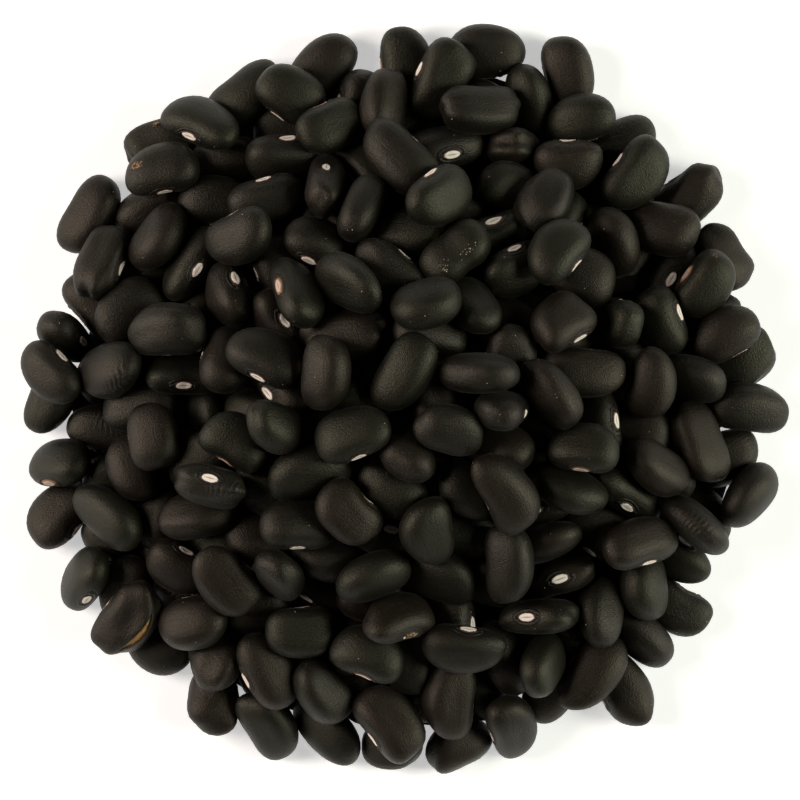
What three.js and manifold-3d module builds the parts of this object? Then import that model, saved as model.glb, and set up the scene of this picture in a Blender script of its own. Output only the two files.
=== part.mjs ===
// A heap of dried black turtle beans, poured loose on a flat surface and left as it settled.
// Millimetres, +Z up, the origin on the surface under the middle of the heap.
// The heap is one solid: a plain low mound inside, and over it every bean that shows, fused on at its
// true size. The beans lie where a pour-and-settle rule leaves them: they are tossed in loose layers,
// fall, push each other apart and hold each other by friction.
import * as THREE from "three";
import { mergeVertices } from "three/addons/utils/BufferGeometryUtils.js";
import Module from "manifold-3d";

// One bean
const BEAN_LENGTH = 9.8;
const BEAN_WIDTH = 6.6; // from the belly with its scar to the back
const BEAN_THICKNESS = 5.0;
const LENGTH_SPREAD = 0.13; // the longest bean is this share longer than a middling one
const GIRTH_SPREAD = 0.07;
const BLUNTNESS = 2.35; // 2 is an ellipsoid, and more fills out the ends and sides
const KIDNEY_BEND = 0.13; // how far the ends bend towards the belly, as a share of the width
const BELLY_HOLLOW = 0.12; // how much the belly is pressed in, as a share of the half width
const HOLLOW_REACH = 0.45; // how far along the belly it is pressed in, as a share of the half length
const END_TAPER = 0.06; // how much fuller one end is than the other
const BEAN_SIDES = 6;
const BEAN_RINGS = 3;
const FACET_GAIN = 1.08; // makes up for what flat facets cut off a round bean

// The pour: loose layers, each a smaller disc than the one below it
const POUR_SEED = 8;
const POUR_LAYERS = 7;
const POUR_RADIUS = 33.5;
const LAYER_RISE = 6.3;
const FIRST_LAYER_HEIGHT = 3;
const BEAN_SHARE = 43; // the area of its layer that each bean gets
const TOSS_GAP = 5.6; // the least distance between two beans of a layer
const MOST_TOSSES = 4000;

// The settling: [steps, how far the beans fall in a step], first fast and then slow
const SETTLING = [
  [130, 0.22],
  [70, 0.1],
  [60, 0.04],
];
const PUSHES = 6; // rounds of pushing apart in a step
const PUSH_GAIN = 1.3;
const FRICTION = 0.8;
const NEAR = 0.3; // beans closer than this may touch in the next rounds
const TURN_INERTIA = 4.3; // a bean's resistance to turning for each unit of its mass

// Which beans show: those first met by enough lines of sight, on a grid, from above or from a side
const SIGHT_GRID = 1;
const LEAST_LINES = 5;
const SIDE_LOOKS = 8;
const SIDE_LOOK_RISE = 20; // degrees above the horizon

// The mound inside, about 3 below the middling surface of the beans
const MOUND_RADIUS = 45;
const MOUND_HEIGHT = 15.5;
const MOUND_SIDES = 28;
const MOUND_RINGS = 6;
const MOUND_STEEPNESS = 1.8; // 1 is a cone, and more rounds the top
const RIM_HEIGHT = 1;

const FLOOR_SIZE = 200; // the block under the floor that cuts the lowest beans flat
const BEAN_BLACK = 0x24221f;

const dot = (a, b) => a[0] * b[0] + a[1] * b[1] + a[2] * b[2];
const cross = (a, b) => [
  a[1] * b[2] - a[2] * b[1],
  a[2] * b[0] - a[0] * b[2],
  a[0] * b[1] - a[1] * b[0],
];
const difference = (a, b) => [a[0] - b[0], a[1] - b[1], a[2] - b[2]];
const scaled = (a, by) => [a[0] * by, a[1] * by, a[2] * by];
const addTo = (sum, a) => a.forEach((value, k) => (sum[k] += value));

// Numbers from 0 to 1, the same ones in each run.
function makeDraw(seed) {
  let state = seed;
  return () => {
    state = (state * 16807) % 2147483647;
    return state / 2147483647;
  };
}

// Random places in a disc, no two closer than the toss gap.
function toss(draw, radius, count) {
  const places = [];
  for (let tosses = 0; tosses < MOST_TOSSES && places.length < count; tosses++) {
    const x = (2 * draw() - 1) * radius;
    const y = (2 * draw() - 1) * radius;
    const clear = places.every(
      ([px, py]) => (x - px) * (x - px) + (y - py) * (y - py) > TOSS_GAP * TOSS_GAP,
    );
    if (clear && x * x + y * y < radius * radius) places.push([x, y]);
  }
  return places;
}

// The loose beans. A bean has its centre, its turn as a quaternion [w, x, y, z], and its half sizes.
function pour() {
  const draw = makeDraw(POUR_SEED);
  const beans = [];
  for (let layer = 0; layer < POUR_LAYERS; layer++) {
    const share = layer / (POUR_LAYERS + 0.5);
    const radius = POUR_RADIUS * (1 - share * Math.sqrt(share));
    const count = Math.floor((Math.PI * radius * radius) / BEAN_SHARE);
    for (const [x, y] of toss(draw, radius, count)) {
      const z = FIRST_LAYER_HEIGHT + layer * LAYER_RISE + draw() - 0.5;
      const turn = [2 * draw() - 1, 2 * draw() - 1, 2 * draw() - 1, 2 * draw() - 1];
      const half = [
        (BEAN_LENGTH / 2) * (1 + LENGTH_SPREAD * (2 * draw() - 1)),
        (BEAN_WIDTH / 2) * (1 + GIRTH_SPREAD * (2 * draw() - 1)),
        (BEAN_THICKNESS / 2) * (1 + GIRTH_SPREAD * (2 * draw() - 1)),
      ];
      beans.push({ centre: [x, y, z], turn: unit(turn), half });
    }
  }
  return beans;
}

function unit(v) {
  const length = Math.sqrt(v.reduce((sum, value) => sum + value * value, 0));
  return v.map((value) => value / length);
}

// The directions of a bean's length, width and thickness.
function axesOf({ turn: [w, x, y, z] }) {
  return [
    [1 - 2 * (y * y + z * z), 2 * (x * y + w * z), 2 * (x * z - w * y)],
    [2 * (x * y - w * z), 1 - 2 * (x * x + z * z), 2 * (y * z + w * x)],
    [2 * (x * z + w * y), 2 * (y * z - w * x), 1 - 2 * (x * x + y * y)],
  ];
}

// The matrix E of the bean as an ellipsoid. Its surface is furthest in direction n at E n / sqrt(n E n).
function spanOf(bean) {
  const [X, Y, Z] = axesOf(bean);
  const [a, b, c] = bean.half.map((h) => h * h);
  return [0, 1, 2].map((r) =>
    [0, 1, 2].map((s) => a * X[r] * X[s] + b * Y[r] * Y[s] + c * Z[r] * Z[s]),
  );
}

const times = (E, n) => [dot(E[0], n), dot(E[1], n), dot(E[2], n)];

// How far a point of a bean has moved in this step.
function moved(bean, arm) {
  const swing = cross(bean.turned, arm);
  return [0, 1, 2].map((k) => bean.shift[k] + swing[k]);
}

// The push at a touching point that takes the overlap away and holds the point by friction.
function pushAt(normal, depth, slip, weight) {
  const press = depth / weight;
  const along = dot(slip, normal);
  const slide = slip.map((value, k) => value - along * normal[k]);
  const speed = Math.sqrt(dot(slide, slide)) + 1e-12;
  const hold = Math.min(1 / weight, (FRICTION * press) / speed);
  return normal.map((value, k) => press * value - hold * slide[k]);
}

// Takes a push at a point of the bean into its sums for this round.
function take(bean, arm, push) {
  addTo(bean.push, push);
  addTo(bean.twist, cross(arm, push).map((value) => value / TURN_INERTIA));
  bean.touches += 1;
}

function turnWeight(arm, normal) {
  const lever = cross(arm, normal);
  return dot(lever, lever) / TURN_INERTIA;
}

// Two beans touch where their ellipsoids reach furthest along a common normal.
function pushApart(one, other) {
  const between = difference(other.centre, one.centre);
  const G = one.span.map((row, r) => row.map((value, s) => value + other.span[r][s]));
  const normal = unit([
    dot(cross(G[1], G[2]), between),
    dot(cross(G[2], G[0]), between),
    dot(cross(G[0], G[1]), between),
  ]);
  const oneSpan = times(one.span, normal);
  const otherSpan = times(other.span, normal);
  const oneReach = Math.sqrt(dot(oneSpan, normal));
  const otherReach = Math.sqrt(dot(otherSpan, normal));
  const depth = oneReach + otherReach - dot(between, normal);
  if (depth <= 0) return;
  const oneArm = oneSpan.map((value) => value / oneReach);
  const otherArm = otherSpan.map((value) => -value / otherReach);
  const weight = 2 + turnWeight(oneArm, normal) + turnWeight(otherArm, normal);
  const slip = difference(moved(other, otherArm), moved(one, oneArm));
  const push = pushAt(normal, depth, slip, weight);
  take(other, otherArm, push);
  take(one, oneArm, scaled(push, -1));
}

function pushOffFloor(bean) {
  const up = [0, 0, 1];
  const reach = Math.sqrt(bean.span[2][2]);
  const depth = reach - bean.centre[2];
  if (depth <= 0) return;
  const arm = bean.span[2].map((value) => -value / reach);
  take(bean, arm, pushAt(up, depth, moved(bean, arm), 1 + turnWeight(arm, up)));
}

// Moves and turns a bean by the middling push of this round.
function give(bean) {
  const gain = PUSH_GAIN / Math.max(bean.touches, 1);
  const push = scaled(bean.push, gain);
  const twist = scaled(bean.twist, gain);
  addTo(bean.centre, push);
  addTo(bean.shift, push);
  addTo(bean.turned, twist);
  const [w, x, y, z] = bean.turn;
  const [p, q, r] = scaled(twist, 0.5);
  bean.turn = unit([
    w - (p * x + q * y + r * z),
    x + (p * w + q * z - r * y),
    y + (q * w + r * x - p * z),
    z + (r * w + p * y - q * x),
  ]);
}

// The pairs of beans that may touch.
function nearPairs(beans) {
  const pairs = [];
  for (let i = 0; i < beans.length; i++) {
    for (let j = i + 1; j < beans.length; j++) {
      const gap = difference(beans[i].centre, beans[j].centre);
      const reach = beans[i].half[0] + beans[j].half[0] + NEAR;
      if (dot(gap, gap) < reach * reach) pairs.push([beans[i], beans[j]]);
    }
  }
  return pairs;
}

function settle(beans) {
  for (const [steps, fall] of SETTLING) {
    for (let step = 0; step < steps; step++) {
      for (const bean of beans) {
        bean.centre[2] -= fall;
        bean.shift = [0, 0, -fall];
        bean.turned = [0, 0, 0];
      }
      const pairs = nearPairs(beans);
      for (let round = 0; round < PUSHES; round++) {
        for (const bean of beans) {
          bean.span = spanOf(bean);
          bean.push = [0, 0, 0];
          bean.twist = [0, 0, 0];
          bean.touches = 0;
        }
        for (const [one, other] of pairs) pushApart(one, other);
        beans.forEach(pushOffFloor);
        beans.forEach(give);
      }
    }
  }
  return beans;
}

// Rotates the looks round the heap, each as [right, up, towards the eye].
function makeLooks() {
  const looks = [[[1, 0, 0], [0, 1, 0], [0, 0, 1]]];
  const lift = THREE.MathUtils.degToRad(SIDE_LOOK_RISE);
  for (let side = 0; side < SIDE_LOOKS; side++) {
    const angle = (2 * Math.PI * side) / SIDE_LOOKS;
    const right = [Math.cos(angle), Math.sin(angle), 0];
    const out = [Math.sin(angle), -Math.cos(angle), 0];
    const eye = [out[0] * Math.cos(lift), out[1] * Math.cos(lift), Math.sin(lift)];
    looks.push([right, cross(eye, right), eye]);
  }
  return looks;
}

// Visits the sight lines that meet a bean, with the height towards the eye at which each one meets it.
function eachSightLine(bean, [right, up, eye], visit) {
  const [xx, xy, xe] = [right, up, eye].map((axis) => dot(times(bean.span, right), axis));
  const [yy, ye, ee] = [
    dot(times(bean.span, up), up),
    dot(times(bean.span, up), eye),
    dot(times(bean.span, eye), eye),
  ];
  const area = xx * yy - xy * xy;
  const [px, py, pe] = [right, up, eye].map((axis) => dot(bean.centre, axis));
  const [reachX, reachY] = [Math.sqrt(xx), Math.sqrt(yy)];
  const leanX = (yy * xe - xy * ye) / area;
  const leanY = (xx * ye - xy * xe) / area;
  const half = Math.sqrt(ee - leanX * xe - leanY * ye);
  for (let x = Math.ceil((px - reachX) / SIGHT_GRID); x * SIGHT_GRID < px + reachX; x++) {
    for (let y = Math.ceil((py - reachY) / SIGHT_GRID); y * SIGHT_GRID < py + reachY; y++) {
      const [u, v] = [x * SIGHT_GRID - px, y * SIGHT_GRID - py];
      const inside = 1 - (yy * u * u - 2 * xy * u * v + xx * v * v) / area;
      if (inside > 0) visit(`${x},${y}`, pe + leanX * u + leanY * v + half * Math.sqrt(inside));
    }
  }
}

// The beans that show from above or from a side, each met first by enough sight lines of one look.
function showing(beans) {
  const shown = new Set();
  for (const look of makeLooks()) {
    const nearest = new Map();
    for (const bean of beans) {
      eachSightLine(bean, look, (line, height) => {
        if (!(nearest.get(line)?.height > height)) nearest.set(line, { bean, height });
      });
    }
    const lines = new Map();
    for (const { bean } of nearest.values()) lines.set(bean, (lines.get(bean) ?? 0) + 1);
    for (const [bean, count] of lines) if (count >= LEAST_LINES) shown.add(bean);
  }
  return beans.filter((bean) => shown.has(bean));
}

// The mound's height at a distance from the middle.
function moundHeight(distance) {
  const share = Math.min(distance / MOUND_RADIUS, 1);
  return RIM_HEIGHT + (MOUND_HEIGHT - RIM_HEIGHT) * (1 - share ** MOUND_STEEPNESS);
}

// A round mound with a flat underside.
function mound() {
  const profile = [new THREE.Vector2(0, 0), new THREE.Vector2(MOUND_RADIUS, 0)];
  for (let ring = 0; ring < MOUND_RINGS; ring++) {
    const distance = MOUND_RADIUS * (1 - ring / MOUND_RINGS);
    profile.push(new THREE.Vector2(distance, moundHeight(distance)));
  }
  profile.push(new THREE.Vector2(0, MOUND_HEIGHT));
  return new THREE.LatheGeometry(profile, MOUND_SIDES).rotateX(Math.PI / 2);
}

// Moves a point of the unit ball to the bean's surface: blunt, bent to the belly, one end fuller.
function beanPoint([u, v, w], [a, b, c]) {
  const size = [u, v, w].reduce((sum, t) => sum + Math.abs(t) ** BLUNTNESS, 0);
  const blunt = FACET_GAIN / size ** (1 / BLUNTNESS);
  const girth = blunt * (1 + END_TAPER * u);
  const belly = v < 0 ? 1 - BELLY_HOLLOW * Math.exp(-((u / HOLLOW_REACH) ** 2)) : 1;
  const bend = 2 * b * KIDNEY_BEND * (1 / 3 - u * u);
  return [a * u * blunt, b * v * girth * belly + bend, c * w * girth];
}

// One bean, with few sides, where it lies.
function beanShape(bean) {
  const ball = new THREE.SphereGeometry(1, BEAN_SIDES, BEAN_RINGS).rotateZ(-Math.PI / 2);
  const points = ball.attributes.position;
  const [X, Y, Z] = axesOf(bean);
  for (let k = 0; k < points.count; k++) {
    const on = [points.getX(k), points.getY(k), points.getZ(k)];
    const [x, y, z] = beanPoint(on, bean.half);
    points.setXYZ(k, ...[0, 1, 2].map((r) => bean.centre[r] + x * X[r] + y * Y[r] + z * Z[r]));
  }
  return ball;
}

const wasm = await Module();
wasm.setup();

function solidOf(geometry) {
  for (const name of ["normal", "uv"]) geometry.deleteAttribute(name);
  const merged = mergeVertices(geometry);
  return new wasm.Manifold(
    new wasm.Mesh({
      numProp: 3,
      vertProperties: merged.attributes.position.array,
      triVerts: new Uint32Array(merged.index.array),
    }),
  );
}

function geometryOf(solid) {
  const { numProp, vertProperties, triVerts } = solid.getMesh();
  const geometry = new THREE.BufferGeometry();
  const points = new THREE.BufferAttribute(vertProperties, numProp);
  geometry.setAttribute("position", points).setIndex(new THREE.BufferAttribute(triVerts, 1));
  geometry.computeVertexNormals();
  return geometry;
}

// The mound and the beans in one solid with a flat underside. A space that they seal between them is
// filled, and a bean that touches nothing is dropped, because only the largest skin is kept.
function heapSolid(beans) {
  const shapes = [mound(), ...beans.map(beanShape)];
  const joined = wasm.Manifold.union(shapes.map(solidOf));
  const floor = new THREE.BoxGeometry(FLOOR_SIZE, FLOOR_SIZE, FLOOR_SIZE);
  const heap = joined.subtract(solidOf(floor.translate(0, 0, -FLOOR_SIZE / 2)));
  return heap.decompose().reduce((most, body) => (body.volume() > most.volume() ? body : most));
}

const heap = new THREE.Mesh(
  geometryOf(heapSolid(showing(settle(pour())))),
  new THREE.MeshStandardMaterial({ color: BEAN_BLACK, roughness: 0.6, metalness: 0, flatShading: true }),
);
heap.name = "bean_heap";

const part = new THREE.Group();
part.add(heap);

export default part;
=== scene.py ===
# A heap of dried black turtle beans, poured loose and left as it settled, seen from straight above.
# Sizes in the working are millimetres, and each mesh is written in metres.
import math

import bpy
import numpy as np
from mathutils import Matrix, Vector


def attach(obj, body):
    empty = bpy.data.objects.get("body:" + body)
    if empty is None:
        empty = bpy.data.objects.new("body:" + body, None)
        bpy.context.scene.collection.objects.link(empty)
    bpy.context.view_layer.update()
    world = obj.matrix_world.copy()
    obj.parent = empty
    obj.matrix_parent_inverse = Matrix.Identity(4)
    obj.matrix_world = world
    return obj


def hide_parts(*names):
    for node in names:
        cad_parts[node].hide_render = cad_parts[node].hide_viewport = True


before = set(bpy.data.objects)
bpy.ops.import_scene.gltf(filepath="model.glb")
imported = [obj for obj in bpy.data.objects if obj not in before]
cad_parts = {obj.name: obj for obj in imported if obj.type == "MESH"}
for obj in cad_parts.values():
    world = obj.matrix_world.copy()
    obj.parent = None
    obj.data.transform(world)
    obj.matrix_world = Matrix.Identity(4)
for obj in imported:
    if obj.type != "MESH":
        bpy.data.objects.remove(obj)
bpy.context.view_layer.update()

bpy.ops.object.select_all(action="DESELECT")

# How the beans lie
# Dry beans tipped out on a table slide over each other until friction holds them. The same rule as in
# the solid model tosses them in loose layers, lets them fall, and pushes them apart where they touch.
BEAN_LENGTH = 9.8
BEAN_WIDTH = 6.6  # from the belly with its scar to the back
BEAN_THICKNESS = 5.0
LENGTH_SPREAD = 0.13
GIRTH_SPREAD = 0.07
POUR_SEED = 8
POUR_LAYERS = 7
LAYERS_TO_TIP = 7.5  # how many layers there would be if the heap came to a point
POUR_RADIUS = 33.5
LAYER_RISE = 6.3
FIRST_LAYER_HEIGHT = 3
BEAN_SHARE = 43  # the area of its layer that each bean gets
TOSS_GAP = 5.6
MOST_TOSSES = 4000
SETTLING = [(130, 0.22), (70, 0.1), (60, 0.04)]  # steps, and how far the beans fall in a step
PUSHES = 6  # rounds of pushing in each step
PUSH_GAIN = 1.3
FRICTION = 0.8
NEAR = 0.3  # beans with a wider gap between them aren't tried for touching
TURN_INERTIA = 4.3  # of a bean over its mass
LEAST_SLIDE = 1e-12
DRAW_FACTOR = 16807
DRAW_MODULUS = 2147483647


def make_draw(seed):
    """Numbers from 0 to 1, the same ones in each run."""
    state = seed

    def draw():
        nonlocal state
        state = (state * DRAW_FACTOR) % DRAW_MODULUS
        return state / DRAW_MODULUS

    return draw


def toss(draw, radius, count):
    """Random places in a disc, no two closer than the toss gap."""
    places = []
    for _ in range(MOST_TOSSES):
        if len(places) == count:
            break
        x = (2 * draw() - 1) * radius
        y = (2 * draw() - 1) * radius
        gaps = [(x - px) * (x - px) + (y - py) * (y - py) for px, py in places]
        clear = all(gap > TOSS_GAP * TOSS_GAP for gap in gaps)
        if clear and x * x + y * y < radius * radius:
            places.append((x, y))
    return places


def dot(a, b):
    """Dot products along the last axis, added up in a fixed order."""
    return sum(a[..., k] * b[..., k] for k in range(a.shape[-1]))[..., None]


def unit(v):
    """The same directions at length one."""
    return v / np.sqrt(dot(v, v))


def pour():
    """The loose beans: centres, turns as quaternions [w, x, y, z], and half sizes."""
    draw = make_draw(POUR_SEED)
    size = [(BEAN_LENGTH, LENGTH_SPREAD), (BEAN_WIDTH, GIRTH_SPREAD), (BEAN_THICKNESS, GIRTH_SPREAD)]
    centre, turn, half = [], [], []
    for layer in range(POUR_LAYERS):
        share = layer / LAYERS_TO_TIP
        radius = POUR_RADIUS * (1 - share * math.sqrt(share))
        count = math.floor((math.pi * radius * radius) / BEAN_SHARE)
        for x, y in toss(draw, radius, count):
            centre.append([x, y, FIRST_LAYER_HEIGHT + layer * LAYER_RISE + draw() - 0.5])
            turn.append([2 * draw() - 1 for _ in range(4)])
            half.append([(whole / 2) * (1 + spread * (2 * draw() - 1)) for whole, spread in size])
    return np.array(centre), unit(np.array(turn)), np.array(half)


def axes_of(turn):
    """The directions of each bean's length, width and thickness."""
    w, x, y, z = turn.T
    length = [1 - 2 * (y * y + z * z), 2 * (x * y + w * z), 2 * (x * z - w * y)]
    width = [2 * (x * y - w * z), 1 - 2 * (x * x + z * z), 2 * (y * z + w * x)]
    thickness = [2 * (x * z + w * y), 2 * (y * z - w * x), 1 - 2 * (x * x + y * y)]
    return np.stack([np.stack(axis, 1) for axis in (length, width, thickness)], 1)


def span_of(turn, half):
    """The matrix E of each bean as an ellipsoid, furthest in direction n at E n / sqrt(n E n)."""
    axes = axes_of(turn)
    parts = (half * half)[:, :, None, None] * axes[:, :, :, None] * axes[:, :, None]
    return parts[:, 0] + parts[:, 1] + parts[:, 2]


def push_at(normal, depth, slip, weight):
    """The push that takes the overlap away and holds the touching point by friction."""
    press = depth / weight
    slide = slip - dot(slip, normal) * normal
    speed = np.sqrt(dot(slide, slide)) + LEAST_SLIDE
    hold = np.minimum(1 / weight, (FRICTION * press) / speed)
    return press * normal - hold * slide


def turn_weight(arm, normal):
    """How readily a push turns a bean, against how readily it moves one."""
    lever = np.cross(arm, normal)
    return dot(lever, lever) / TURN_INERTIA


def bean_pushes(centre, span, shift, turned, one, other):
    """Who is pushed, where and how, for each pair of beans that overlap."""
    between = centre[other] - centre[one]
    G = span[one] + span[other]
    rows = [(1, 2), (2, 0), (0, 1)]
    normal = unit(np.concatenate([dot(np.cross(G[:, r], G[:, s]), between) for r, s in rows], 1))
    one_span = dot(span[one], normal[:, None])[..., 0]
    other_span = dot(span[other], normal[:, None])[..., 0]
    one_reach = np.sqrt(dot(one_span, normal))
    other_reach = np.sqrt(dot(other_span, normal))
    depth = one_reach + other_reach - dot(between, normal)
    hit = depth[:, 0] > 0
    a, b, n = one[hit], other[hit], normal[hit]
    a_arm = (one_span / one_reach)[hit]
    b_arm = (-other_span / other_reach)[hit]
    weight = 2 + turn_weight(a_arm, n) + turn_weight(b_arm, n)
    slip = (shift[b] + np.cross(turned[b], b_arm)) - (shift[a] + np.cross(turned[a], a_arm))
    push = push_at(n, depth[hit], slip, weight)
    who = np.stack([b, a], 1).ravel()
    return who, np.stack([b_arm, a_arm], 1).reshape(-1, 3), np.stack([push, -push], 1).reshape(-1, 3)


def floor_pushes(centre, span, shift, turned):
    """Who is pushed, where and how, for each bean that sinks into the table."""
    up = np.array([0.0, 0.0, 1.0])
    reach = np.sqrt(span[:, 2, 2:])
    depth = reach - centre[:, 2:]
    low = np.nonzero(depth[:, 0] > 0)[0]
    arm = (-span[:, 2] / reach)[low]
    slip = shift[low] + np.cross(turned[low], arm)
    return low, arm, push_at(up, depth[low], slip, 1 + turn_weight(arm, up))


def turned_by(turn, twist):
    """The turns after a small twist more, given as a turning vector."""
    w, x, y, z = turn.T
    p, q, r = (twist * 0.5).T
    new = [
        w - (p * x + q * y + r * z),
        x + (p * w + q * z - r * y),
        y + (q * w + r * x - p * z),
        z + (r * w + p * y - q * x),
    ]
    return unit(np.stack(new, 1))


def settle(centre, turn, half):
    """Lets the beans fall and pushes them apart, until they lie."""
    for fall in [fall for steps, fall in SETTLING for _ in range(steps)]:
        centre[:, 2] -= fall
        shift, turned = np.zeros_like(centre), np.zeros_like(centre)
        shift[:, 2] = -fall
        gap = centre[:, None] - centre[None]
        reach = half[:, None, 0] + half[None, :, 0] + NEAR
        one, other = np.nonzero(np.triu(dot(gap, gap)[..., 0] < reach * reach, 1))
        for _ in range(PUSHES):
            span = span_of(turn, half)
            push, twist, touches = np.zeros_like(centre), np.zeros_like(centre), np.zeros((len(centre), 1))
            for who, arm, force in (
                bean_pushes(centre, span, shift, turned, one, other),
                floor_pushes(centre, span, shift, turned),
            ):
                np.add.at(push, who, force)
                np.add.at(twist, who, np.cross(arm, force) / TURN_INERTIA)
                np.add.at(touches, who, 1)
            gain = PUSH_GAIN / np.maximum(touches, 1)
            push, twist = push * gain, twist * gain
            centre += push
            shift += push
            turned += twist
            turn = turned_by(turn, twist)
    return centre, turn, half


centre, turn, half = settle(*pour())
axes = axes_of(turn)
span = span_of(turn, half)
COUNT = len(centre)

# The photograph's frame
# The picture is 800 pixels wide and looks straight down, turned so that the outline of the heap fits best.
# A middling bean is 78 pixels long in it, which makes a pixel 0.1244 mm.
FRAME_PIXELS = 800
PIXEL = 0.1244
PHOTO_TURN = math.radians(264)  # from the heap's +X to the photograph's right
PROBE_RADIUS = 1.5
PROBE_STEP = 0.8  # in radians round the probe's ring
PHOTO_RIGHT = np.array([math.cos(PHOTO_TURN), math.sin(PHOTO_TURN)])
PHOTO_UP = np.array([-math.sin(PHOTO_TURN), math.cos(PHOTO_TURN)])


def spot(right, down):
    """The place on the heap, in mm, of a pixel of the photograph."""
    middle = FRAME_PIXELS / 2
    return ((right - middle) * PHOTO_RIGHT + (middle - down) * PHOTO_UP) * PIXEL


def top_at(places):
    """For each bean and each place in plan, the height of the bean's top, or nothing where it isn't."""
    u = places[None, :, 0] - centre[:, 0, None]
    v = places[None, :, 1] - centre[:, 1, None]
    xx, xy, yy = span[:, 0, 0, None], span[:, 0, 1, None], span[:, 1, 1, None]
    xz, yz, zz = span[:, 0, 2, None], span[:, 1, 2, None], span[:, 2, 2, None]
    area = xx * yy - xy * xy
    lean_x, lean_y = (yy * xz - xy * yz) / area, (xx * yz - xy * xz) / area
    inside = 1 - (yy * u * u - 2 * xy * u * v + xx * v * v) / area
    half_height = np.sqrt(zz - lean_x * xz - lean_y * yz)
    top = centre[:, 2, None] + lean_x * u + lean_y * v + half_height * np.sqrt(np.maximum(inside, 0))
    return np.where(inside > 0, top, -1.0)


def bean_under(right, down):
    """The bean that shows most, round a pixel of the photograph."""
    turns = np.arange(0, 2 * math.pi, PROBE_STEP)
    ring = [(r * math.cos(a), r * math.sin(a)) for r in (0.0, PROBE_RADIUS) for a in turns]
    tops = top_at(spot(right, down) + np.array(ring))
    return int(np.argmax(np.bincount(np.argmax(tops, 0), minlength=COUNT)))


# The form of one bean
# A turtle bean is a blunt oblong, a little bent towards the belly, where the scar of its stalk lies in a
# shallow hollow. Drying leaves each one with faint dents of its own, and one end fuller than the other.
BLUNTNESS = (2.15, 2.6)  # 2 is an ellipsoid, and more fills out the ends and sides
BLUNT_TRIM = 0.07  # a blunter bean is a little smaller all round, so that it fills the same room
KIDNEY_BEND = (0.02, 0.13)  # how far the ends bend towards the belly, as a share of the width
BELLY_HOLLOW = (0.03, 0.14)  # how much the belly is pressed in, as a share of the half width
HOLLOW_REACH = 0.42
END_TAPER = (-0.1, 0.1)
DENT_DEPTH = (0.006, 0.019)  # as a share of the bean's half size
DENT_WAVES = 5
DENT_CLOSENESS = 1.9  # the more, the closer together
BATTERED_SHARE = 0.3  # of the beans, whose dents are deeper and closer together
BATTERED_DEEPER = 1.9
BATTERED_CLOSER = 1.6
SUNK_DEPTH = 0.15  # of the flat sides, at most, where most beans have hardly any
SUNK_REACH = (0.65, 0.5)
WAIST_REACH = 0.3
TABLE_CLEARANCE = 0.02
LOOKS_SEED = 5
MM = 0.001

chance = np.random.RandomState(LOOKS_SEED)
battered = chance.uniform(0, 1, COUNT) < BATTERED_SHARE
deeper = np.where(battered, BATTERED_DEEPER, 1)
closer = np.where(battered, BATTERED_CLOSER, 1)[:, None, None]
form = {
    "blunt": chance.uniform(*BLUNTNESS, COUNT),
    "bend": chance.uniform(*KIDNEY_BEND, COUNT),
    "hollow": chance.uniform(*BELLY_HOLLOW, COUNT),
    "taper": chance.uniform(*END_TAPER, COUNT),
    "dent": chance.uniform(*DENT_DEPTH, COUNT) * deeper,
    "wave": chance.normal(0, DENT_CLOSENESS, (COUNT, DENT_WAVES, 3)) * closer,
    "phase": chance.uniform(0, 2 * math.pi, (COUNT, DENT_WAVES)),
    "sunk": SUNK_DEPTH * chance.uniform(0, 1, COUNT) ** 2,
    "waist": np.zeros(COUNT),
}
lot = chance.uniform(0, 1, COUNT)  # a number from 0 to 1 that sets each bean's kind and pattern
everyone = np.arange(COUNT)


def on_beans(which, ball, relief=0.0):
    """Moves points of the unit ball to the surfaces of the chosen beans, in each bean's own axes."""
    u, v, w = ball[..., 0], ball[..., 1], ball[..., 2]
    a, b, c = (half[which, k, None] for k in range(3))
    mine = {title: value[which, None] for title, value in form.items()}
    size = np.abs(u) ** mine["blunt"] + np.abs(v) ** mine["blunt"] + np.abs(w) ** mine["blunt"]
    waves = ball @ form["wave"][which].transpose(0, 2, 1) + mine["phase"]
    full = size ** (-1 / mine["blunt"]) * (1 + mine["dent"] * np.sin(waves).sum(-1) + relief)
    full = full * (1 - BLUNT_TRIM * (mine["blunt"] - 2))
    waist = 1 - mine["waist"] * np.exp(-((u / WAIST_REACH) ** 2))
    girth = full * waist * (1 + mine["taper"] * u)
    belly = 1 - mine["hollow"] * np.exp(-((u / HOLLOW_REACH) ** 2)) * ((1 - v) / 2) ** 3
    bend = 2 * b * mine["bend"] * (1 / 3 - u * u)
    sunk = 1 - mine["sunk"] * np.exp(-((u / SUNK_REACH[0]) ** 2) - (v / SUNK_REACH[1]) ** 2)
    return np.stack([a * u * full, b * v * girth * belly + bend, c * w * girth * sunk], -1)


def in_heap(which, local):
    """Turns and moves points from each bean's own axes to where the bean lies, above the table."""
    world = centre[which, None] + local @ axes[which]
    world[..., 2] = np.maximum(world[..., 2], TABLE_CLEARANCE)
    return world


def facing(which, direction):
    """The point of the unit ball where each chosen bean faces a direction in the heap."""
    return unit(half[which] * (axes[which] @ np.array(direction)))


def ball_of(segments, rings):
    """A unit ball with its poles at the ends of the bean's length, as points and faces."""
    bpy.ops.mesh.primitive_uv_sphere_add(
        segments=segments, ring_count=rings, radius=1, rotation=(0, math.pi / 2, 0)
    )
    ball = bpy.context.object
    bpy.ops.object.transform_apply(rotation=True)
    points = np.array([vertex.co for vertex in ball.data.vertices])
    faces = [tuple(face.vertices) for face in ball.data.polygons]
    bpy.data.objects.remove(ball)
    return points, faces


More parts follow.
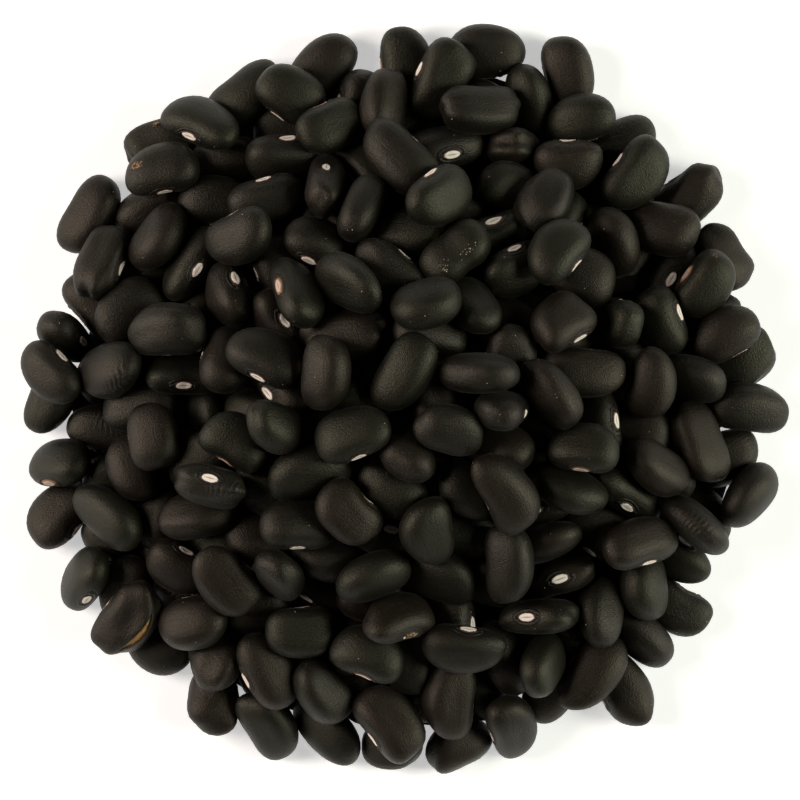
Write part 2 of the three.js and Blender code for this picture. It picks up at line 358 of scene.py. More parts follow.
def piece(name, points, faces, material, values):
    """One object from like things that share their faces. Values are kept for each point."""
    things, corners = points.shape[:2]
    mesh = bpy.data.meshes.new(name)
    joined = [
        tuple(corner + thing * corners for corner in face)
        for thing in range(things)
        for face in faces
    ]
    mesh.from_pydata((points.reshape(-1, 3) * MM).tolist(), [], joined)
    for title, value in values.items():
        kind, field = ("FLOAT_VECTOR", "vector") if value.ndim == 3 else ("FLOAT", "value")
        mesh.attributes.new(title, kind, "POINT").data.foreach_set(field, value.ravel().astype(np.float32))
    mesh.materials.append(material)
    mesh.shade_smooth()
    made = bpy.data.objects.new(name, mesh)
    bpy.context.collection.objects.link(made)
    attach(made, "root")
    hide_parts("bean_heap")
    return made


# Seed coats
# The coat of a dried bean is a thin dull skin, black with a little brown or green in it. To the eye it has
# a fine grain, faint streaks along the bean, and a darker, redder halo round the scar.
GRAIN_SIZE = 0.17  # drawn coarser than the real grain of about 0.1, which is too fine to show
GRAIN_RELIEF = 0.084
STREAK_WIDTH = 0.5
STREAK_STRETCH = 0.22
STREAK_RELIEF = 0.5  # as a share of the grain's
MOTTLE_SIZE = 2.4
GRAIN_RANGE = (0.48, 0.66, 0.85)  # the noise that gives none and most of the colour, and how much
STREAK_RANGE = (0.42, 0.75, 0.55)
MOTTLE_RANGE = (0.38, 0.66, 1.0)
LOT_STEP = 90.0  # how far the first and the last lot are apart in the noise
LOT_DARKENING = 0.45  # how far the last lot is darkened
HALO = (1.7, 1.2, 1.05)  # half length, depth and half width of the dark ring round the scar
HALO_FADE = (0.7, 1.2)
HALO_STRENGTH = 0.9
HALO_COLOUR = 0x0A0605
COAT_ROUGHNESS = (0.41, 0.55)  # a waxy film over a dull skin
SCAR_SHIFT = 0.35  # of the scar from the middle of the belly, at most


def on_belly(along):
    """Points of the unit ball on the middle line of the belly."""
    return np.stack([along, -np.sqrt(1 - along * along), np.zeros_like(along)], 1)


scar_at = chance.uniform(-SCAR_SHIFT, SCAR_SHIFT, COUNT) / half[:, 0]
scar_ball = on_belly(scar_at)


def coat_values(which, local):
    """Places on each coat, measured from the middle of its scar, and the lot of each bean."""
    return {
        "coat": local - on_beans(which, scar_ball[which][:, None]),
        "lot": np.repeat(lot[which, None], local.shape[1], 1),
    }


def colour(hex_value):
    """An sRGB colour, as linear values."""
    parts = [(hex_value >> shift & 255) / 255 for shift in (16, 8, 0)]
    return [p / 12.92 if p <= 0.04045 else ((p + 0.055) / 1.055) ** 2.4 for p in parts] + [1]


def add_node(tree, kind, out, inputs, **settings):
    """Adds a node, sets or links its inputs, and gives the output that is asked for."""
    node = tree.nodes.new(kind)
    for name, value in settings.items():
        setattr(node, name, value)
    for key, value in inputs.items():
        if isinstance(value, bpy.types.NodeSocket):
            tree.links.new(value, node.inputs[key])
        else:
            node.inputs[key].default_value = value
    return node.outputs[out]


def seed_coat(name, deep, worn, tinge, film):
    """A dull seed coat: its deep colour, worn grain, the tinge of its mottling, and its waxy film."""
    material = bpy.data.materials.new(name)
    material.use_nodes = True
    tree = material.node_tree
    place = add_node(tree, "ShaderNodeAttribute", "Vector", {}, attribute_name="coat")
    bean = add_node(tree, "ShaderNodeAttribute", "Fac", {}, attribute_name="lot")
    pick = add_node(tree, "ShaderNodeMath", 0, {0: bean, 1: LOT_STEP}, operation="MULTIPLY")
    stretch = {0: place, 1: (STREAK_STRETCH, 1, 1)}
    along = add_node(tree, "ShaderNodeVectorMath", 0, stretch, operation="MULTIPLY")
    patterns = []
    for vector, size in ((place, GRAIN_SIZE), (along, STREAK_WIDTH), (place, MOTTLE_SIZE)):
        inputs = {"Vector": vector, "W": pick, "Scale": 1 / size, "Detail": 2.0, "Roughness": 0.6}
        patterns.append(add_node(tree, "ShaderNodeTexNoise", "Fac", inputs, noise_dimensions="4D"))
    grain, streak, mottle = patterns
    skin = colour(deep)
    layers = (mottle, MOTTLE_RANGE, tinge), (streak, STREAK_RANGE, worn), (grain, GRAIN_RANGE, worn)
    for value, (low, high, most), tint in layers:
        share = {"Value": value, "From Min": low, "From Max": high, "To Max": most}
        share = add_node(tree, "ShaderNodeMapRange", "Result", share)
        mix = {0: share, 6: skin, 7: colour(tint)}
        skin = add_node(tree, "ShaderNodeMix", 2, mix, data_type="RGBA")
    darker = add_node(tree, "ShaderNodeMath", 0, {0: bean, 1: LOT_DARKENING}, operation="MULTIPLY")
    mix = {0: darker, 6: skin, 7: colour(deep)}
    skin = add_node(tree, "ShaderNodeMix", 2, mix, data_type="RGBA")
    reach = {0: place, 1: [1 / size for size in HALO]}
    reach = add_node(tree, "ShaderNodeVectorMath", 0, reach, operation="MULTIPLY")
    reach = add_node(tree, "ShaderNodeVectorMath", "Value", {0: reach}, operation="LENGTH")
    inner, outer = HALO_FADE
    ring = {"Value": reach, "From Min": inner, "From Max": outer, "To Min": HALO_STRENGTH, "To Max": 0.0}
    ring = add_node(tree, "ShaderNodeMapRange", "Result", ring)
    mix = {0: ring, 6: skin, 7: colour(HALO_COLOUR)}
    skin = add_node(tree, "ShaderNodeMix", 2, mix, data_type="RGBA")
    height = {0: streak, 1: STREAK_RELIEF, 2: grain}
    height = add_node(tree, "ShaderNodeMath", 0, height, operation="MULTIPLY_ADD")
    bump = {"Strength": 1.0, "Distance": GRAIN_RELIEF * MM, "Height": height}
    shader = tree.nodes["Principled BSDF"]
    tree.links.new(add_node(tree, "ShaderNodeBump", "Normal", bump), shader.inputs["Normal"])
    smooth, rough = COAT_ROUGHNESS
    gloss = {"Value": grain, "From Min": 0.3, "From Max": 0.7, "To Min": smooth, "To Max": rough}
    tree.links.new(add_node(tree, "ShaderNodeMapRange", "Result", gloss), shader.inputs["Roughness"])
    tree.links.new(skin, shader.inputs["Base Color"])
    shader.inputs["IOR"].default_value = 1.4
    shader.inputs["Specular IOR Level"].default_value = 0.5
    shader.inputs["Sheen Weight"].default_value = 0.03
    shader.inputs["Sheen Roughness"].default_value = 0.25
    shader.inputs["Specular Tint"].default_value = colour(film)
    return material


# Beans out of the ordinary
# The photograph shows some beans that are wrinkled, split, waisted or misshapen. Each is taken to be the
# bean that lies in its place here, and a few beans more are wrinkled, which show from other sides.
WRINKLED_SPOTS = [(120, 395), (710, 545), (93, 447)]
WRINKLED_BESIDES = [40, 97, 151, 208, 262]  # in the order that they are poured
SPLIT_SPOT = (155, 610)
SPECKED_SPOT = (455, 246)  # the photograph has it at (495, 250), where a bean lies on top here
SPECKED_WAIST = 0.13
MISSHAPEN_SPOTS = [(235, 605), (190, 690), (360, 740)]
MISSHAPEN_DENT = 0.05

split = np.array([bean_under(*SPLIT_SPOT)])
specked = np.array([bean_under(*SPECKED_SPOT)])
wrinkled = {bean_under(*at) for at in WRINKLED_SPOTS} | set(WRINKLED_BESIDES)
wrinkled = np.array(sorted(wrinkled - set(split) - set(specked)))
form["waist"][specked] = SPECKED_WAIST
form["hollow"][specked] = 0.0
misshapen = np.array([bean_under(*at) for at in MISSHAPEN_SPOTS])
form["dent"][misshapen] = MISSHAPEN_DENT

# Sound beans
# Nearly all the beans are sound. About a third of them have aged to a brownish black, and the greenish
# blacks are the freshest.
SEGMENTS = 28
RINGS = 18
BROWNISH_TO = 0.36  # of the lots
GREENISH_FROM = 0.66
ball, ball_faces = ball_of(SEGMENTS, RINGS)
black_coat = seed_coat("dull black seed coat", 0x090806, 0x18140D, 0x0D0E08, 0xFFF5E0)
brownish_coat = seed_coat("aged brown-black seed coat", 0x0A0805, 0x1A150E, 0x110B07, 0xFFF2DD)
greenish_coat = seed_coat("fresh green-black seed coat", 0x080805, 0x16150C, 0x0D0D08, 0xFEF8DC)
sound = np.setdiff1d(everyone, np.concatenate([wrinkled, split]))
kinds = [
    ("brownish_beans", lot[sound] < BROWNISH_TO, brownish_coat),
    ("black_beans", (lot[sound] >= BROWNISH_TO) & (lot[sound] < GREENISH_FROM), black_coat),
    ("greenish_beans", lot[sound] >= GREENISH_FROM, greenish_coat),
]
for name, mine, coat in kinds:
    local = on_beans(sound[mine], ball)
    piece(name, in_heap(sound[mine], local), ball_faces, coat, coat_values(sound[mine], local))

# Wrinkled beans
# A bean that dries too fast draws up its coat in sharp cross folds, close together on one side of it.
# The folds are in the mesh itself, so these beans have finer faces than the sound ones.
FOLD_GAP = 0.6
FOLD_HEIGHT = 0.034  # as a share of the bean's half size
FOLD_REACH = 0.52
FOLD_ASIDE = (-0.3, 0.3, 0.1)  # from the bean's top to the middle of its folds
FOLD_FAN = 0.25  # how much the folds spread out towards one side
FOLD_SWAY = 0.12
FOLD_SWAYS = 7
FOLD_SEGMENTS = 80
FOLD_RINGS = 110
fine_ball, fine_faces = ball_of(FOLD_SEGMENTS, FOLD_RINGS)
middle = unit(facing(wrinkled, (0, 0, 1)) + FOLD_ASIDE)[:, None]
apart = np.sqrt(dot(fine_ball - middle, fine_ball - middle))[..., 0]
across = dot(fine_ball - middle, np.array([0.0, 1.0, 1.0]))[..., 0]
sway = FOLD_SWAY * np.sin(FOLD_SWAYS * across)
run = fine_ball[:, 0] * half[wrinkled, :1] * (1 + FOLD_FAN * across) + sway
fold = 1 - np.abs(np.sin(math.pi * run / FOLD_GAP))
folds = FOLD_HEIGHT * np.exp(-((apart / FOLD_REACH) ** 4)) * fold
local = on_beans(wrinkled, fine_ball, folds)
piece("wrinkled_beans", in_heap(wrinkled, local), fine_faces, black_coat, coat_values(wrinkled, local))

# The split bean
# Its coat has torn along one side and curled back a little. The two seed leaves inside, dry and tan, show
# in the tear.
TEAR_HALF_ANGLE = 0.17
TEAR_REACH = 0.66  # as a share of the half length
TEAR_CURL = 0.045
TEAR_LEAN = 0.25  # how far the tear opens to one side, as a share of its width
TEAR_FACING = (0.7, -0.5, 1.5)  # to the photograph's right, to its top and out of the table
CURL_REACH = 0.22
COAT_THICKNESS = 0.13
FLESH_SIZE = 0.955
FLESH_TAN = 0xB58C52
FLESH_BROWN = 0x855C2B
FLESH_CLOUDS = 1.6  # to the millimetre
MERGE_GAP = 0.002
ROUND = 96  # steps round the coat
ALONG = 64  # steps along it


def in_photo(right, up, out):
    """A direction in the heap, from one in the photograph."""
    return (*(right * PHOTO_RIGHT + up * PHOTO_UP), out)


toward = facing(split, in_photo(*TEAR_FACING))[0]
tear_at = math.atan2(toward[2], toward[1])
slope = np.pi * (np.arange(ALONG + 1) / ALONG)
share = np.arange(ROUND + 1) / ROUND
gape = TEAR_HALF_ANGLE * np.maximum(1 - (np.cos(slope) / TEAR_REACH) ** 2, 0)[:, None]
angle = tear_at + gape * TEAR_LEAN + (2 * math.pi - gape * (1 + TEAR_LEAN)) * share
grid = np.stack(
    [
        np.broadcast_to(np.cos(slope)[:, None], angle.shape),
        np.sin(slope)[:, None] * np.cos(angle),
        np.sin(slope)[:, None] * np.sin(angle),
    ],
    -1,
).reshape(-1, 3)
from_edge = np.minimum(share, 1 - share) * 2 * math.pi
curl = (TEAR_CURL * np.exp(-((from_edge / CURL_REACH) ** 2)) * gape / TEAR_HALF_ANGLE).reshape(-1)
starts = [row * (ROUND + 1) + k for row in range(ALONG) for k in range(ROUND)]
strip = [(at, at + 1, at + ROUND + 2, at + ROUND + 1) for at in starts]
local = on_beans(split, grid, curl)
torn = piece("split_bean_coat", in_heap(split, local), strip, brownish_coat, coat_values(split, local))
bpy.ops.object.select_all(action="DESELECT")
torn.select_set(True)
bpy.context.view_layer.objects.active = torn
bpy.ops.object.mode_set(mode="EDIT")
bpy.ops.mesh.select_all(action="SELECT")
bpy.ops.mesh.remove_doubles(threshold=MERGE_GAP * MM)
bpy.ops.mesh.normals_make_consistent(inside=False)
bpy.ops.object.mode_set(mode="OBJECT")
skin_wall = torn.modifiers.new("coat wall", "SOLIDIFY")
skin_wall.thickness = COAT_THICKNESS * MM
skin_wall.offset = -1
bpy.ops.object.modifier_apply(modifier=skin_wall.name)


def dry_flesh():
    """Dry seed leaves: hard, tan and dull, browner in places."""
    material = bpy.data.materials.new("dry tan seed leaf")
    material.use_nodes = True
    tree = material.node_tree
    place = add_node(tree, "ShaderNodeAttribute", "Vector", {}, attribute_name="coat")
    cloud = {"Vector": place, "Scale": FLESH_CLOUDS, "Detail": 3.0}
    cloud = add_node(tree, "ShaderNodeTexNoise", "Fac", cloud)
    share = {"Value": cloud, "From Min": 0.4, "From Max": 0.65}
    share = add_node(tree, "ShaderNodeMapRange", "Result", share)
    tan = {0: share, 6: colour(FLESH_TAN), 7: colour(FLESH_BROWN)}
    shader = tree.nodes["Principled BSDF"]
    tree.links.new(add_node(tree, "ShaderNodeMix", 2, tan, data_type="RGBA"), shader.inputs["Base Color"])
    bump = add_node(tree, "ShaderNodeBump", "Normal", {"Distance": 0.05 * MM, "Height": cloud})
    tree.links.new(bump, shader.inputs["Normal"])
    shader.inputs["Roughness"].default_value = 0.62
    return material


local = on_beans(split, ball) * FLESH_SIZE
piece("split_bean_flesh", in_heap(split, local), ball_faces, dry_flesh(), coat_values(split, local))

# Scars
# Each bean hung in its pod by a short stalk, which left a cream scar on the belly: a raised oval pad of
# cork-like tissue with a fine slit along it and a red-brown edge.
SCAR_LENGTH = 2.35
SCAR_WIDTH = 1.16
SCAR_PROFILE = [  # how far out, as a share of the half size, and how high over the coat
    (0.0, 0.08), (0.4, 0.09), (0.68, 0.12), (0.86, 0.11), (0.96, 0.02), (1.22, 0.03), (1.34, -0.08),
]
SCAR_RAGGEDNESS = 0.04
SCAR_COLOURS = [
    (0.0, 0xE4D8CA), (0.55, 0xF5EDE2), (0.8, 0xEADBCB), (0.89, 0x75483A), (0.95, 0x1C0E0A), (1.0, 0x080403),
]
SCAR_CLOUDS = 2.2  # to half a scar's length or width
SCAR_LOT_STEP = 70.0
SLIT = (1.35, 7.0, 0)  # one over its half length and half width, as shares of the pad's
SLIT_COLOUR = 0x96745B
AGED_FROM = 0.86  # the lots whose scars have browned
AGED_MOST = 0.75
AGED_COLOUR = 0x9B7350
PAD_SIDES = 14
PAD_BOTTOM = -0.3


def pads(which, middle, length, width, profile, raggedness):
    """Small raised pads on the chosen beans, each round a point of the unit ball, closed underneath."""
    turns = 2 * math.pi * np.arange(PAD_SIDES) / PAD_SIDES
    ring = np.stack([np.cos(turns), np.sin(turns), np.zeros(PAD_SIDES)], 1)
    flat = [np.array([[0, 0, 0]])] + [ring * reach for reach, _ in profile[1:]] + [np.array([[0, 0, 0]])]
    flat = np.concatenate(flat)
    lift = [profile[0][1]] + [height for _, height in profile[1:] for _ in range(PAD_SIDES)] + [PAD_BOTTOM]
    ragged = 1 + raggedness * chance.uniform(-1, 1, (len(which), PAD_SIDES))
    ragged = np.concatenate([ragged[:, :1], np.tile(ragged, len(profile) - 1), ragged[:, :1]], 1)[..., None]
    along = unit(np.array([1.0, 0.0, 0.0]) - middle[:, :1] * middle)
    across = np.cross(middle, along)
    step = flat * ragged / 2
    ball = middle[:, None] + step[..., :1] * (along * length / half[which, :1])[:, None]
    ball = unit(ball + step[..., 1:2] * (across * width / half[which, 2:])[:, None])
    out = unit(ball / half[which, None])
    local = on_beans(which, ball) + out * np.array(lift)[:, None]
    return local, np.broadcast_to(flat, local.shape)


def pad_faces(rings):
    """A fan on top, bands down to each further ring, and a fan underneath."""
    following = [(side + 1) % PAD_SIDES for side in range(PAD_SIDES)]
    start = [1 + ring * PAD_SIDES for ring in range(rings)]
    bands = [
        (start[r] + s, start[r + 1] + s, start[r + 1] + following[s], start[r] + following[s])
        for r in range(rings - 1)
        for s in range(PAD_SIDES)
    ]
    top = [(0, 1 + s, 1 + following[s]) for s in range(PAD_SIDES)]
    under = start[-1] + PAD_SIDES
    return top + bands + [(under, start[-1] + following[s], start[-1] + s) for s in range(PAD_SIDES)]


def scar_tissue():
    """Pale cork-like tissue: dry and dull, browner along its slit and red-brown at its edge."""
    material = bpy.data.materials.new("pale scar tissue")
    material.use_nodes = True
    tree = material.node_tree
    place = add_node(tree, "ShaderNodeAttribute", "Vector", {}, attribute_name="pad")
    bean = add_node(tree, "ShaderNodeAttribute", "Fac", {}, attribute_name="lot")
    pick = add_node(tree, "ShaderNodeMath", 0, {0: bean, 1: SCAR_LOT_STEP}, operation="MULTIPLY")
    cloud = {"Vector": place, "W": pick, "Scale": SCAR_CLOUDS, "Detail": 3.0}
    cloud = add_node(tree, "ShaderNodeTexNoise", "Fac", cloud, noise_dimensions="4D")
    far = add_node(tree, "ShaderNodeVectorMath", "Value", {0: place}, operation="LENGTH")
    wander = {"Value": cloud, "From Min": 0.3, "From Max": 0.7, "To Min": -0.07, "To Max": 0.07}
    wander = add_node(tree, "ShaderNodeMapRange", "Result", wander)
    far = add_node(tree, "ShaderNodeMath", 0, {0: far, 1: wander}, operation="ADD")
    pale = add_node(tree, "ShaderNodeValToRGB", "Color", {"Fac": far})
    ramp = pale.node.color_ramp
    while len(ramp.elements) < len(SCAR_COLOURS):
        ramp.elements.new(0.5)
    for element, (at, hex_value) in zip(ramp.elements, SCAR_COLOURS):
        element.position = at
        element.color = colour(hex_value)
    thin = add_node(tree, "ShaderNodeVectorMath", 0, {0: place, 1: SLIT}, operation="MULTIPLY")
    thin = add_node(tree, "ShaderNodeVectorMath", "Value", {0: thin}, operation="LENGTH")
    slit = {"Value": thin, "From Min": 0.6, "From Max": 1.1, "To Min": 0.75, "To Max": 0.0}
    slit = add_node(tree, "ShaderNodeMapRange", "Result", slit)
    slit = {0: slit, 6: pale, 7: colour(SLIT_COLOUR)}
    slit = add_node(tree, "ShaderNodeMix", 2, slit, data_type="RGBA")
    age = {"Value": bean, "From Min": AGED_FROM, "From Max": 1.0, "To Min": 0.0, "To Max": AGED_MOST}
    age = add_node(tree, "ShaderNodeMapRange", "Result", age)
    aged = {0: age, 6: slit, 7: colour(AGED_COLOUR)}
    shader = tree.nodes["Principled BSDF"]
    tree.links.new(add_node(tree, "ShaderNodeMix", 2, aged, data_type="RGBA"), shader.inputs["Base Color"])
    bump = add_node(tree, "ShaderNodeBump", "Normal", {"Distance": 0.06 * MM, "Height": cloud})
    tree.links.new(bump, shader.inputs["Normal"])
    shader.inputs["Roughness"].default_value = 0.65
    return material


local, place = pads(everyone, scar_ball, SCAR_LENGTH, SCAR_WIDTH, SCAR_PROFILE, SCAR_RAGGEDNESS)
values = {"pad": place, "lot": np.repeat(lot[:, None], local.shape[1], 1)}
piece("bean_scars", in_heap(everyone, local), pad_faces(len(SCAR_PROFILE) - 1), scar_tissue(), values)

# Swellings past the scars
# The coat swells a little past both ends of the scar, over the root tip at one end and smaller at the
# other. They are of the coat itself, and as dull.
BUMP_PROFILE = [(0.0, 0.13), (0.45, 0.11), (0.8, 0.05), (1.1, -0.06)]
BUMP_RAGGEDNESS = 0.1
BUMPS = [(1.5, 0.75, 0.6), (-1.4, 0.45, 0.4)]  # from the scar's middle, length and width
bumps = []
for shift, length, width in BUMPS:
    bump_ball = on_belly(scar_at + shift / half[:, 0])
    local, _ = pads(everyone, bump_ball, length, width, BUMP_PROFILE, BUMP_RAGGEDNESS)
    bumps.append(local)
local = np.concatenate(bumps)
twice = np.concatenate([everyone, everyone])
values = coat_values(twice, local)
piece("scar_bumps", in_heap(twice, local), pad_faces(len(BUMP_PROFILE) - 1), black_coat, values)

# Lips round the scars
# Round the scar the coat stands up in a low soft lip, and dips from it to the scar's edge. The lip
# catches the light as a thin ring.
LIP_LENGTH = 4.0
LIP_WIDTH = 2.25
LIP_PROFILE = [(0.0, -0.2), (0.68, -0.06), (0.77, 0.03), (0.87, 0.06), (0.99, 0.035), (1.16, -0.05)]
LIP_RAGGEDNESS = 0.06
local, _ = pads(everyone, scar_ball, LIP_LENGTH, LIP_WIDTH, LIP_PROFILE, LIP_RAGGEDNESS)
values = coat_values(everyone, local)
piece("scar_lips", in_heap(everyone, local), pad_faces(len(LIP_PROFILE) - 1), black_coat, values)

# Flecks
# Dust of chaff and broken skin lies on the beans as single pale flecks, and the waisted bean carries two
# clusters of them.
FLECK_COUNT = 260
FLECK_SIZE = (0.05, 0.11)
FLECK_FACING = (0, 0, 0.8)  # mostly upwards
FLECK_SCATTER = 0.5
CLUSTER_SIZE = (0.07, 0.15)
CLUSTER_FLECKS = 15
CLUSTER_PLACES = [(-0.42, 0.05), (0.34, -0.1)]
CLUSTER_SPREAD = 0.13
CHAFF_DARK = 0x6F6852
CHAFF_PALE = 0xC9BFA4
fleck_bean = chance.randint(0, COUNT, FLECK_COUNT)
lean = chance.normal(0, FLECK_SCATTER, (FLECK_COUNT, 3)) + FLECK_FACING
fleck_ball = unit(half[fleck_bean] * np.einsum("nkr,nr->nk", axes[fleck_bean], lean))
fleck_size = chance.uniform(*FLECK_SIZE, FLECK_COUNT)
top = facing(specked, (0, 0, 1))[0]
sideways = np.cross(top, (1.0, 0.0, 0.0))
for along, across in CLUSTER_PLACES:
    scatter = chance.normal(0, CLUSTER_SPREAD, (CLUSTER_FLECKS, 2)) + (along, across)
    cluster = top + scatter[:, :1] * np.array([1.0, 0.0, 0.0]) + scatter[:, 1:] * sideways
    fleck_ball = np.concatenate([fleck_ball, unit(cluster)])
    fleck_bean = np.concatenate([fleck_bean, np.repeat(specked, CLUSTER_FLECKS)])
    fleck_size = np.concatenate([fleck_size, chance.uniform(*CLUSTER_SIZE, CLUSTER_FLECKS)])
out = unit(fleck_ball / half[fleck_bean])
one_way = unit(np.cross(out, chance.normal(0, 1, out.shape)))
frame_of = np.stack([one_way, np.cross(out, one_way), out], 1)
flake = np.array([(1.0, 0, 0), (0, 0.7, 0), (-0.8, 0.1, 0), (0.1, -0.6, 0), (0, 0, 0.35), (0, 0, -0.35)])
flake_faces = [(0, 1, 4), (1, 2, 4), (2, 3, 4), (3, 0, 4), (1, 0, 5), (2, 1, 5), (3, 2, 5), (0, 3, 5)]
local = on_beans(fleck_bean, fleck_ball[:, None]) + (flake * fleck_size[:, None, None]) @ frame_of


def chaff():
    """Bits of dry husk: pale yellowish grey, dull, each a little lighter or darker."""
    material = bpy.data.materials.new("pale chaff")
    material.use_nodes = True
    tree = material.node_tree
    bit = add_node(tree, "ShaderNodeAttribute", "Fac", {}, attribute_name="lot")
    shades = {0: bit, 6: colour(CHAFF_DARK), 7: colour(CHAFF_PALE)}
    shade = add_node(tree, "ShaderNodeMix", 2, shades, data_type="RGBA")
    shader = tree.nodes["Principled BSDF"]
    tree.links.new(shade, shader.inputs["Base Color"])
    shader.inputs["Roughness"].default_value = 0.8
    return material


values = {"lot": np.repeat(chance.uniform(0, 1, (len(local), 1)), len(flake), 1)}
piece("chaff_flecks", in_heap(fleck_bean, local), flake_faces, chaff(), values)

# Worn spots
# One bean's tip is scuffed through to the brown, one is chipped by its scar, one scar is torn, and one
# bean has a small brown mark. Each is a thin ragged patch of bared tissue.
SCUFFS = [  # pixel of the bean, the way it faces or None for on the scar, length and width
    ((170, 150), (-0.5, 0.3, 0.8), 2.2, 0.8),
    ((176, 140), (-0.1, 0.6, 0.8), 1.0, 0.5),
    ((635, 690), (-0.6, -0.4, 0.7), 0.9, 0.5),
    ((415, 615), None, 2.1, 1.0),
    ((722, 300), (0.1, 0.6, 0.8), 1.1, 0.5),
]
SCUFF_PROFILE = [(0.0, 0.03), (0.5, 0.04), (0.85, 0.03), (1.0, -0.03)]
SCUFF_RAGGEDNESS = 0.35
TORN_SCAR_LIFT = 0.11
BARED_TAN = 0xA07A50
BARED_BROWN = 0x2B1B10
BARED_CRUMBS = 3.5  # to the millimetre


def bared_tissue():
    """Tissue under a torn coat: tan crumbs between brown cracks."""
    material = bpy.data.materials.new("bared brown tissue")
    material.use_nodes = True
    tree = material.node_tree
    place = add_node(tree, "ShaderNodeAttribute", "Vector", {}, attribute_name="coat")
    crumbs = {"Vector": place, "Scale": BARED_CRUMBS}
    crumbs = add_node(tree, "ShaderNodeTexVoronoi", "Distance", crumbs)
    share = {"Value": crumbs, "From Min": 0.25, "From Max": 0.6}
    share = add_node(tree, "ShaderNodeMapRange", "Result", share)
    tan = {0: share, 6: colour(BARED_TAN), 7: colour(BARED_BROWN)}
    shader = tree.nodes["Principled BSDF"]
    tree.links.new(add_node(tree, "ShaderNodeMix", 2, tan, data_type="RGBA"), shader.inputs["Base Color"])
    bump = add_node(tree, "ShaderNodeBump", "Normal", {"Distance": 0.1 * MM, "Height": crumbs}, invert=True)
    tree.links.new(bump, shader.inputs["Normal"])
    shader.inputs["Roughness"].default_value = 0.75
    return material


scuffed = np.array([bean_under(*at) for at, _, _, _ in SCUFFS])
scuff_ball = scar_ball[scuffed]
for k, (_, way, _, _) in enumerate(SCUFFS):
    if way:
        scuff_ball[k] = facing(scuffed[k:k + 1], in_photo(*way))[0]
scuff_size = np.array([(length, width) for _, _, length, width in SCUFFS])
scuff_length, scuff_width = scuff_size[:, :1], scuff_size[:, 1:]
local, _ = pads(scuffed, scuff_ball, scuff_length, scuff_width, SCUFF_PROFILE, SCUFF_RAGGEDNESS)
on_scar = np.array([way is None for _, way, _, _ in SCUFFS])
local[on_scar, :, 1] -= TORN_SCAR_LIFT
values = {"coat": local}
piece("worn_spots", in_heap(scuffed, local), pad_faces(len(SCUFF_PROFILE) - 1), bared_tissue(), values)

# The middle of the heap
# Deep in the heap, and between the beans at its foot, nothing shows but hidden beans in shade. A low mound
# stands for them, closes the view down to the table there, and ends under the outermost beans. Its
# near-black colour, browner in patches, is painted shade.
CORE_HEIGHT = 10  # under the middle of the heap
CORE_FOOT = 0.3
CORE_LUMPS = 0.04  # in two crossing waves, as a share of the height
CORE_SIGHT = 5  # the lowest beans within this of a direction set how far the mound goes there
CORE_INSET = 2.5
CORE_POLE = 0.001
CORE_SIDES = 72
CORE_RINGS = 24
# The mound's two colours are painted shade: near black, and browner in patches.
PAINTED_SHADE_BLACK = 0x0A0706
PAINTED_SHADE_BROWN = 0x1A130D
PAINTED_SHADE_PATCHES = 700.0  # to the metre, so about 1.4 mm each
on_table = centre[centre[:, 2] < BEAN_WIDTH]


def foot_reach(x, y):
    """How far out the middles of the lowest beans lie in a direction, in mm."""
    x, y = x / math.hypot(x, y), y / math.hypot(x, y)
    aside = np.abs(on_table[:, 0] * y - on_table[:, 1] * x)
    return (on_table[:, 0] * x + on_table[:, 1] * y)[aside < CORE_SIGHT].max()


# The mound stands for the hidden beans, and its dark colour is painted shade.
bpy.ops.mesh.primitive_uv_sphere_add(segments=CORE_SIDES, ring_count=CORE_RINGS, radius=1)
core = bpy.context.object
core.name = "painted_shade_mound"
for vertex in core.data.vertices:
    x, y, z = vertex.co
    reach = foot_reach(x, y) - CORE_INSET if math.hypot(x, y) > CORE_POLE else 0
    lumps = CORE_LUMPS * math.sin(9 * x + 4 * y) * math.sin(8 * y - 3 * x)
    rise = CORE_FOOT + max(z, 0) ** 2 * CORE_HEIGHT * (1 + lumps)
    vertex.co = Vector((x * reach, y * reach, rise)) * MM


def painted_deep_shade():
    """Painted shade for the hidden beans: nearly black, dull, browner in patches."""
    material = bpy.data.materials.new("painted shade of the hidden beans")
    material.use_nodes = True
    tree = material.node_tree
    place = add_node(tree, "ShaderNodeTexCoord", "Object", {})
    # Noise that spreads the browner patches over the painted shade.
    crumbs = {"Vector": place, "Scale": PAINTED_SHADE_PATCHES, "Detail": 3.0}
    crumbs = add_node(tree, "ShaderNodeTexNoise", "Fac", crumbs)
    share = {"Value": crumbs, "From Min": 0.45, "From Max": 0.7}
    share = add_node(tree, "ShaderNodeMapRange", "Result", share)
    brown = {0: share, 6: colour(PAINTED_SHADE_BLACK), 7: colour(PAINTED_SHADE_BROWN)}
    shader = tree.nodes["Principled BSDF"]
    tree.links.new(add_node(tree, "ShaderNodeMix", 2, brown, data_type="RGBA"), shader.inputs["Base Color"])
    bump = add_node(tree, "ShaderNodeBump", "Normal", {"Distance": 0.3 * MM, "Height": crumbs})
    tree.links.new(bump, shader.inputs["Normal"])
    shader.inputs["Roughness"].default_value = 0.95
    shader.inputs["Specular IOR Level"].default_value = 0.1
    return material


# The mound is coloured with painted shade.
core.data.materials.append(painted_deep_shade())
core.data.shade_smooth()
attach(core, "root")
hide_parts("bean_heap")

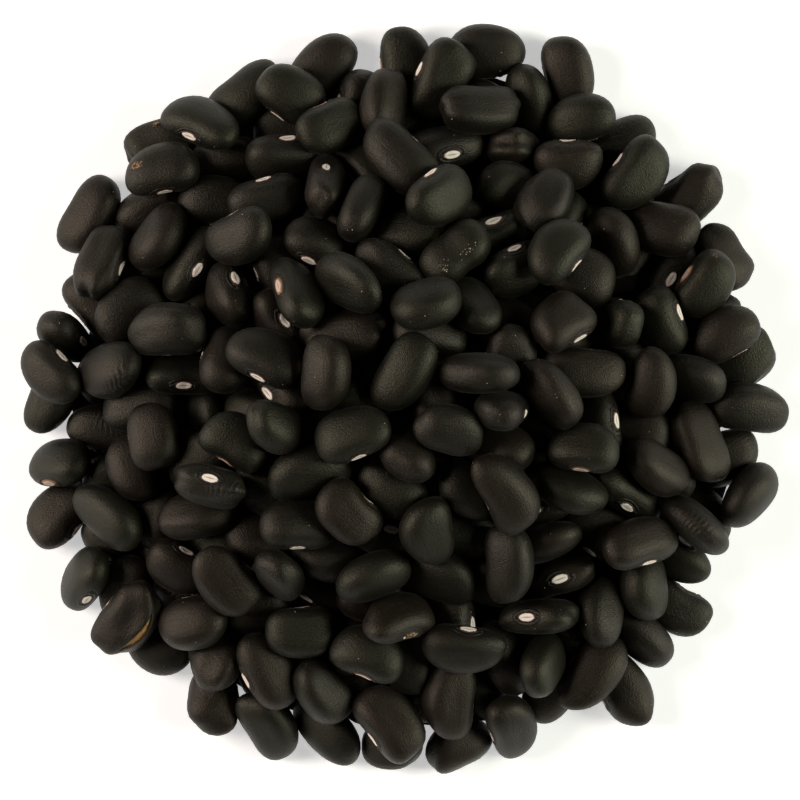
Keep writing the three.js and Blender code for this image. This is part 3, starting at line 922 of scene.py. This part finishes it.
# Floor, light and camera
# The photograph is a cut-out on white, so the floor is white and a low white wall stands far round it. A
# broad warm light stands on the left and a greener one on the right, and the camera hangs over the heap,
# so the tops of the beans mirror the dark above.
FLOOR_SIZE = 2
PAPER_WHITE = 0xF7F7F5
PAPER_GLOW = 0.48
bpy.ops.mesh.primitive_plane_add(size=FLOOR_SIZE)
floor = bpy.context.object
floor.name = "floor"
paper = bpy.data.materials.new("white paper")
paper.use_nodes = True
paper_shader = paper.node_tree.nodes["Principled BSDF"]
paper_shader.inputs["Base Color"].default_value = colour(PAPER_WHITE)
paper_shader.inputs["Roughness"].default_value = 0.9
paper_shader.inputs["Emission Color"].default_value = colour(0xFFFFFF)
paper_shader.inputs["Emission Strength"].default_value = PAPER_GLOW
floor.data.materials.append(paper)

WALL_REACH = 0.9
WALL_HEIGHT = 0.17
WALL_SIDES = 128
bpy.ops.mesh.primitive_cylinder_add(
    vertices=WALL_SIDES,
    radius=WALL_REACH,
    depth=WALL_HEIGHT,
    end_fill_type="NOTHING",
    location=(0, 0, WALL_HEIGHT / 2),
)
backdrop = bpy.context.object
backdrop.name = "backdrop"
bpy.ops.object.transform_apply(location=True)
backdrop.data.shade_smooth()
backdrop.data.materials.append(paper)

SOFTBOX_WIDTH = 0.22
SOFTBOX_DEPTH = 0.32


def softbox(name, right, up, height, power, hex_value):
    """An area light beside the heap, placed in the photograph's directions, facing the heap."""
    lamp = bpy.data.lights.new(name, "AREA")
    lamp.shape = "RECTANGLE"
    lamp.size = SOFTBOX_WIDTH
    lamp.size_y = SOFTBOX_DEPTH
    lamp.energy = power
    lamp.color = colour(hex_value)[:3]
    box = bpy.data.objects.new(name, lamp)
    box.location = in_photo(right, up, height)
    box.rotation_euler = (-box.location).to_track_quat("-Z", "Y").to_euler()
    bpy.context.collection.objects.link(box)


softbox("left_softbox", right=-0.42, up=0.06, height=0.3, power=2.45, hex_value=0xFFF3EC)
softbox("right_softbox", right=0.45, up=-0.02, height=0.28, power=2.35, hex_value=0xFBFFF0)

world = bpy.data.worlds.new("studio")
world.use_nodes = True
world.node_tree.nodes["Background"].inputs["Color"].default_value = (1, 1, 1, 1)
world.node_tree.nodes["Background"].inputs["Strength"].default_value = 0.01
bpy.context.scene.world = world

CAMERA_HEIGHT = 0.5
SENSOR = 36
RIM_HEIGHT = 0.003  # of the beans at the heap's outline, which is the outline that was measured
eye = bpy.data.cameras.new("camera")
eye.sensor_width = SENSOR
eye.lens = SENSOR * (CAMERA_HEIGHT - RIM_HEIGHT) / (FRAME_PIXELS * PIXEL * MM)
camera = bpy.data.objects.new("camera", eye)
camera.location = (0, 0, CAMERA_HEIGHT)
camera.rotation_euler = (0, 0, PHOTO_TURN)
bpy.context.collection.objects.link(camera)
bpy.context.scene.camera = camera
bpy.context.scene.view_settings.view_transform = "Standard"
